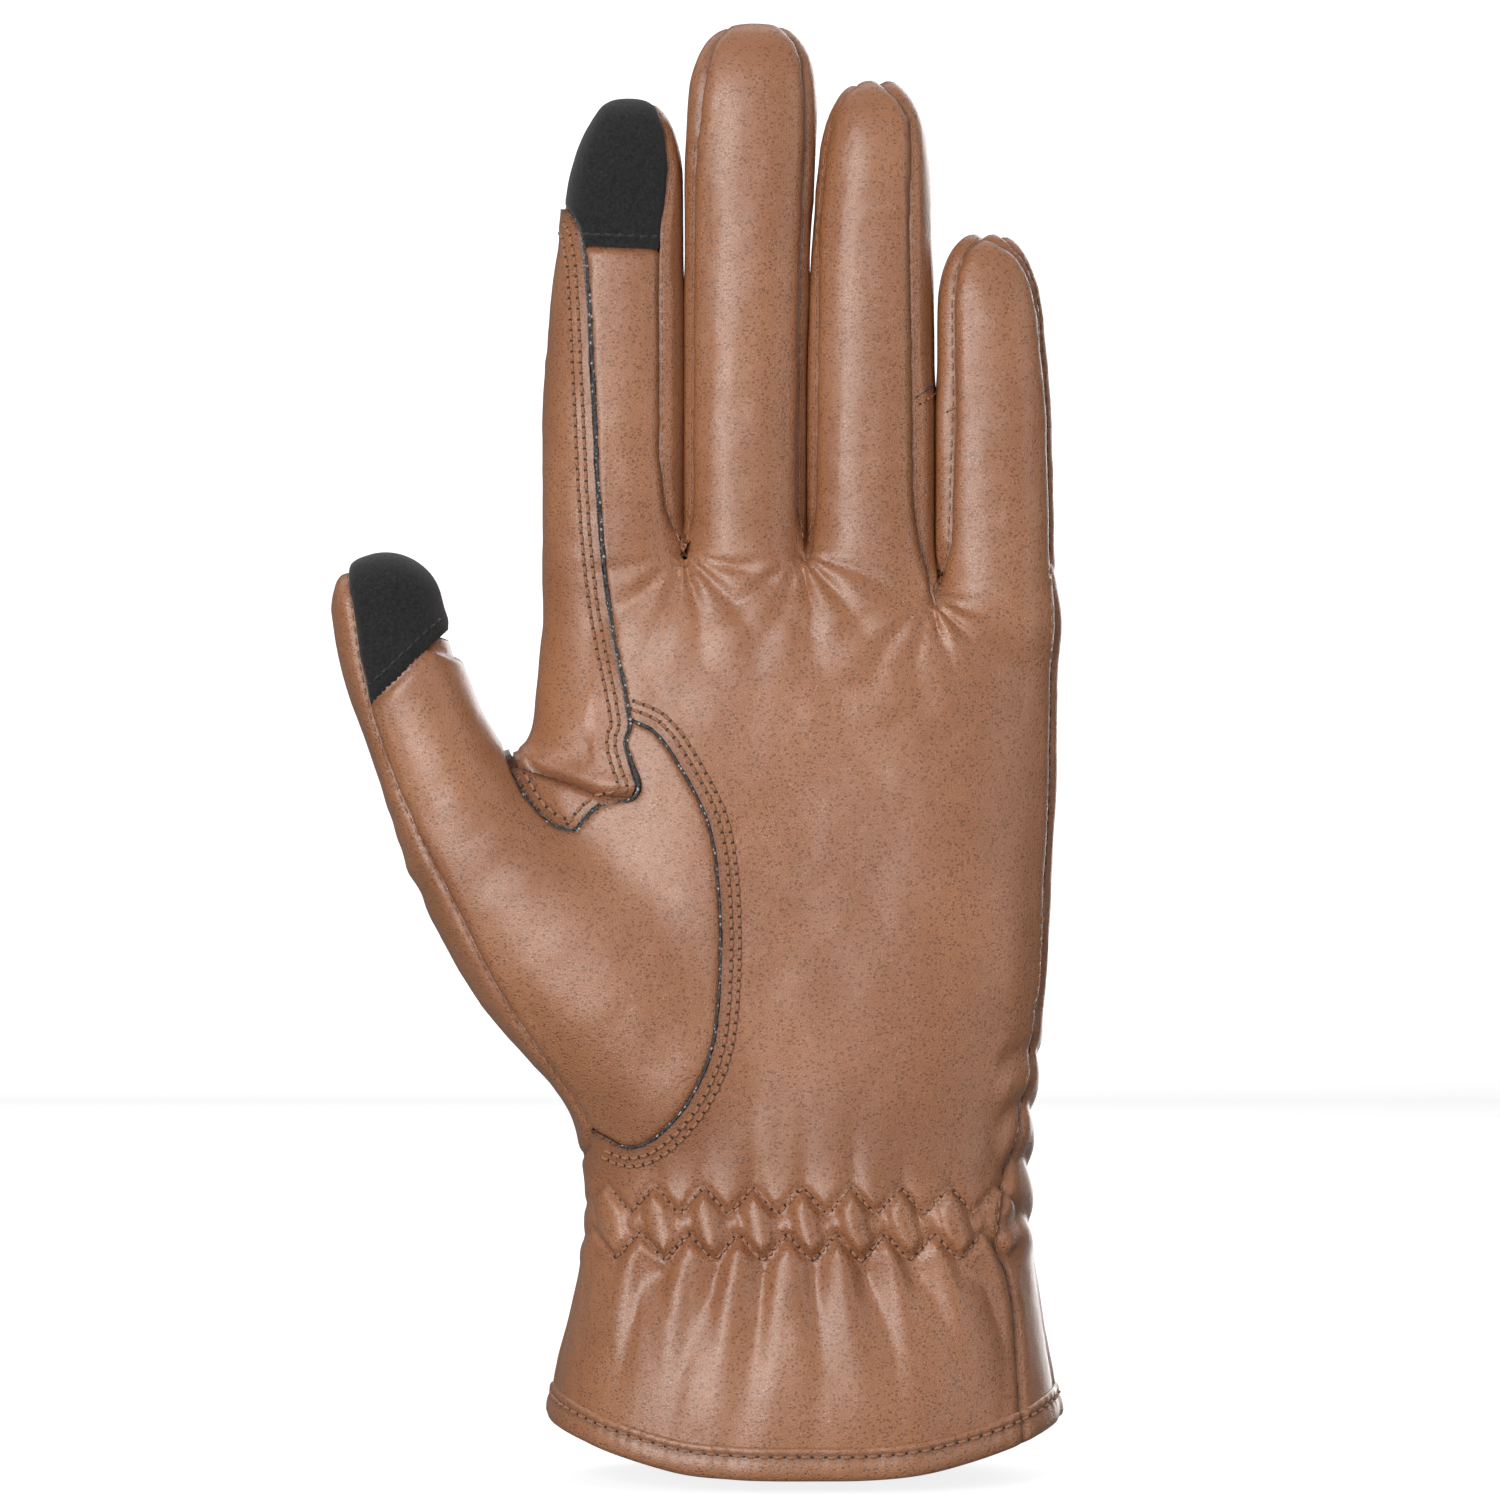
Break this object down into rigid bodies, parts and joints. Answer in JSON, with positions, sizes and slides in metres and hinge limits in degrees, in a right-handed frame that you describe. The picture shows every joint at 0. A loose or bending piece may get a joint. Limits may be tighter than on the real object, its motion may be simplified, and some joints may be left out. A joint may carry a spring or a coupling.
{
  "type": "touchscreen glove",
  "caption": "Left-hand leather glove with dark touch pads on thumb and index finger, elastic wrist with zigzag stitching and bound flared cuff.",
  "frame": {"origin": "centre of the bounding box in plan, at the lowest level of the hem", "axes": "+Z from the hem to the fingertips, -Y is the palm side, +X towards the little finger"},
  "size_m": [0.1245, 0.0536, 0.2462],
  "materials": {
    "leather": "smooth grain, soft satin sheen",
    "binding": "thin folded leather strip, satin",
    "touch_suede": "matt brushed conductive microfibre",
    "thread": "twisted sewing thread",
    "elastic": "woven elastic band",
    "lining": "thin brushed knit"
  },
  "bodies": {
    "cuff": {"cuff_palm_panel": "leather", "cuff_back_panel": "leather", "hem_binding": "binding", "wrist_elastic_palm": "elastic", "wrist_elastic_back": "elastic", "cuff_lining": "lining", "zigzag_thread_upper": "thread", "zigzag_thread_lower": "thread"},
    "hand": {"palm_panel": "leather", "back_panel": "leather", "index_side_panel": "leather", "thumb_gusset": "leather", "thumb_base_panel": "leather", "hand_lining": "lining"},
    "index_proximal": {"index_proximal_palm": "leather", "index_proximal_back": "leather", "index_proximal_side_panel": "leather", "index_proximal_fourchette_right": "leather"},
    "index_middle": {"index_middle_palm": "leather", "index_middle_back": "leather", "index_middle_side_panel": "leather", "index_middle_fourchette_right": "leather"},
    "index_tip": {"index_touch_cap": "touch_suede", "index_tip_back": "leather"},
    "middle_proximal": {"middle_proximal_palm": "leather", "middle_proximal_back": "leather", "middle_proximal_fourchette_left": "leather", "middle_proximal_fourchette_right": "leather"},
    "middle_middle": {"middle_middle_palm": "leather", "middle_middle_back": "leather", "middle_middle_fourchette_left": "leather", "middle_middle_fourchette_right": "leather"},
    "middle_tip": {"middle_tip_palm": "leather", "middle_tip_back": "leather"},
    "ring_proximal": {"ring_proximal_palm": "leather", "ring_proximal_back": "leather", "ring_proximal_fourchette_left": "leather", "ring_proximal_fourchette_right": "leather"},
    "ring_middle": {"ring_middle_palm": "leather", "ring_middle_back": "leather", "ring_middle_fourchette_left": "leather", "ring_middle_fourchette_right": "leather"},
    "ring_tip": {"ring_tip_palm": "leather", "ring_tip_back": "leather"},
    "little_proximal": {"little_proximal_palm": "leather", "little_proximal_back": "leather", "little_proximal_fourchette_left": "leather", "little_proximal_fourchette_right": "leather"},
    "little_middle": {"little_middle_palm": "leather", "little_middle_back": "leather", "little_middle_fourchette_left": "leather", "little_middle_fourchette_right": "leather"},
    "little_tip": {"little_tip_palm": "leather", "little_tip_back": "leather"},
    "thumb_proximal": {"thumb_proximal_palm": "leather", "thumb_proximal_back": "leather"},
    "thumb_tip": {"thumb_touch_cap": "touch_suede", "thumb_tip_back": "leather"}
  },
  "joints": [
    {"name": "wrist_flex", "type": "hinge", "parent": "cuff", "child": "hand", "pos_m": [0.0183, 0, 0.063], "axis": [1, 0, 0], "range_deg": [-30, 30], "stiffness_Nm_per_rad": 0.3},
    {"name": "index_knuckle", "type": "hinge", "parent": "hand", "child": "index_proximal", "pos_m": [-0.0145, -0.004, 0.1685], "axis": [1, 0, 0], "range_deg": [0, 60], "stiffness_Nm_per_rad": 0.04},
    {"name": "index_middle_joint", "type": "hinge", "parent": "index_proximal", "child": "index_middle", "pos_m": [-0.0145, -0.004, 0.186], "axis": [1, 0, 0], "range_deg": [0, 70], "stiffness_Nm_per_rad": 0.02},
    {"name": "index_tip_joint", "type": "hinge", "parent": "index_middle", "child": "index_tip", "pos_m": [-0.0145, -0.004, 0.212], "axis": [1, 0, 0], "range_deg": [0, 42], "stiffness_Nm_per_rad": 0.02},
    {"name": "middle_knuckle", "type": "hinge", "parent": "hand", "child": "middle_proximal", "pos_m": [0.0082, -0.004, 0.169], "axis": [1, 0, 0], "range_deg": [0, 60], "stiffness_Nm_per_rad": 0.04},
    {"name": "middle_middle_joint", "type": "hinge", "parent": "middle_proximal", "child": "middle_middle", "pos_m": [0.0082, -0.004, 0.19], "axis": [1, 0, 0], "range_deg": [0, 70], "stiffness_Nm_per_rad": 0.02},
    {"name": "middle_tip_joint", "type": "hinge", "parent": "middle_middle", "child": "middle_tip", "pos_m": [0.0082, -0.004, 0.217], "axis": [1, 0, 0], "range_deg": [0, 42], "stiffness_Nm_per_rad": 0.02},
    {"name": "ring_knuckle", "type": "hinge", "parent": "hand", "child": "ring_proximal", "pos_m": [0.0295, -0.004, 0.169], "axis": [1, 0, 0], "range_deg": [0, 60], "stiffness_Nm_per_rad": 0.04},
    {"name": "ring_middle_joint", "type": "hinge", "parent": "ring_proximal", "child": "ring_middle", "pos_m": [0.0295, -0.004, 0.1885], "axis": [1, 0, 0], "range_deg": [0, 70], "stiffness_Nm_per_rad": 0.02},
    {"name": "ring_tip_joint", "type": "hinge", "parent": "ring_middle", "child": "ring_tip", "pos_m": [0.0295, -0.004, 0.2125], "axis": [1, 0, 0], "range_deg": [0, 42], "stiffness_Nm_per_rad": 0.02},
    {"name": "little_knuckle", "type": "hinge", "parent": "hand", "child": "little_proximal", "pos_m": [0.051, -0.004, 0.159], "axis": [1, 0, 0], "range_deg": [0, 60], "stiffness_Nm_per_rad": 0.04},
    {"name": "little_middle_joint", "type": "hinge", "parent": "little_proximal", "child": "little_middle", "pos_m": [0.051, -0.004, 0.176], "axis": [1, 0, 0], "range_deg": [0, 70], "stiffness_Nm_per_rad": 0.02},
    {"name": "little_tip_joint", "type": "hinge", "parent": "little_middle", "child": "little_tip", "pos_m": [0.051, -0.004, 0.1935], "axis": [1, 0, 0], "range_deg": [0, 42], "stiffness_Nm_per_rad": 0.02},
    {"name": "thumb_base_joint", "type": "hinge", "parent": "hand", "child": "thumb_proximal", "pos_m": [-0.0402, -0.008, 0.112], "axis": [0.9, 0, 0.436], "range_deg": [0, 30], "stiffness_Nm_per_rad": 0.04},
    {"name": "thumb_tip_joint", "type": "hinge", "parent": "thumb_proximal", "child": "thumb_tip", "pos_m": [-0.0483, -0.008, 0.1315], "axis": [0.9, 0, 0.436], "range_deg": [0, 45], "stiffness_Nm_per_rad": 0.02}
  ],
  "couplings": [
    {"joint": "index_tip_joint", "follows": "index_middle_joint", "ratio": 0.6},
    {"joint": "middle_tip_joint", "follows": "middle_middle_joint", "ratio": 0.6},
    {"joint": "ring_tip_joint", "follows": "ring_middle_joint", "ratio": 0.6},
    {"joint": "little_tip_joint", "follows": "little_middle_joint", "ratio": 0.6}
  ]
}
